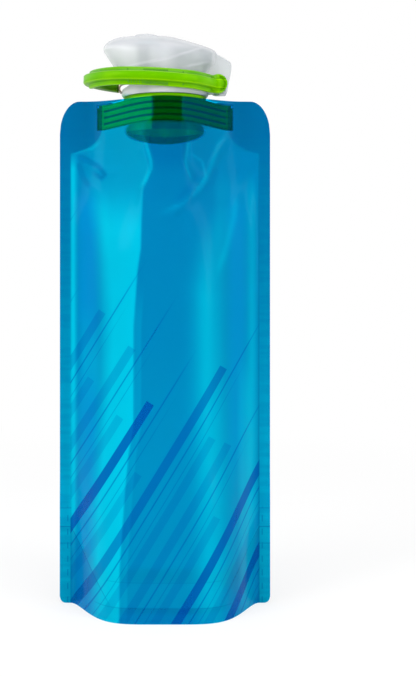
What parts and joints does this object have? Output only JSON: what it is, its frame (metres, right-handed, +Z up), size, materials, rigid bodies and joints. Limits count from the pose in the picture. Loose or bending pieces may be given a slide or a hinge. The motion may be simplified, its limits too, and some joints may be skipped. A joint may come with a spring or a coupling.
{
  "type": "collapsible water bottle",
  "caption": "Flat-bottomed film pouch with a welded spout, a screw cap with a flip lid over its nozzle, and a wire-gate carabiner hinged on the cap.",
  "frame": {"origin": "on the ground under the middle of the flat base", "axes": "+Z up through the spout, +X towards the cap's hinge, -Y towards the printed front"},
  "size_m": [0.127, 0.083, 0.3431],
  "materials": {
    "film": "clear blue tinted film, glossy, with softly creased panels and flat heat-sealed edges",
    "lime_plastic": "lime green moulded plastic, semi-gloss",
    "gasket": "dark red soft sealing ring",
    "frosted_plastic": "translucent frosted white plastic",
    "plug_seal": "clear soft sealing plug",
    "steel_wire": "bright drawn stainless wire"
  },
  "bodies": {
    "pouch": {"front_film": "film", "back_film": "film", "gusset_film": "film", "spout_fitment": "lime_plastic"},
    "gasket": {"cap_gasket": "gasket"},
    "cap": {"cap_base": "frosted_plastic"},
    "lid": {"flip_lid": "frosted_plastic", "lid_plug_seal": "plug_seal"},
    "carabiner": {"carabiner_frame": "lime_plastic"},
    "gate": {"gate_wire": "steel_wire"}
  },
  "joints": [
    {"name": "cap_rise", "type": "slide", "parent": "pouch", "child": "gasket", "axis": [0, 0, 1], "range_m": [0, 0.005]},
    {"name": "cap_twist", "type": "hinge", "parent": "gasket", "child": "cap", "pos_m": [0, 0, 0.3048], "axis": [0, 0, 1], "range_deg": [0, 720]},
    {"name": "lid_flip", "type": "hinge", "parent": "cap", "child": "lid", "pos_m": [0.0315, 0, 0.3115], "axis": [0, 1, 0], "range_deg": [0, 90]},
    {"name": "carabiner_swing", "type": "hinge", "parent": "cap", "child": "carabiner", "pos_m": [0.0315, 0, 0.3115], "axis": [0, 1, 0], "range_deg": [0, 225]},
    {"name": "gate_open", "type": "hinge", "parent": "carabiner", "child": "gate", "pos_m": [0.00153, 0.02885, 0.31291], "axis": [0.0471, 0, 0.9989], "range_deg": [0, 11], "stiffness_Nm_per_rad": 0.03, "springref_deg": -11.46}
  ],
  "couplings": [
    {"joint": "cap_twist", "follows": "cap_rise", "rad_per_m": 2513.3}
  ]
}
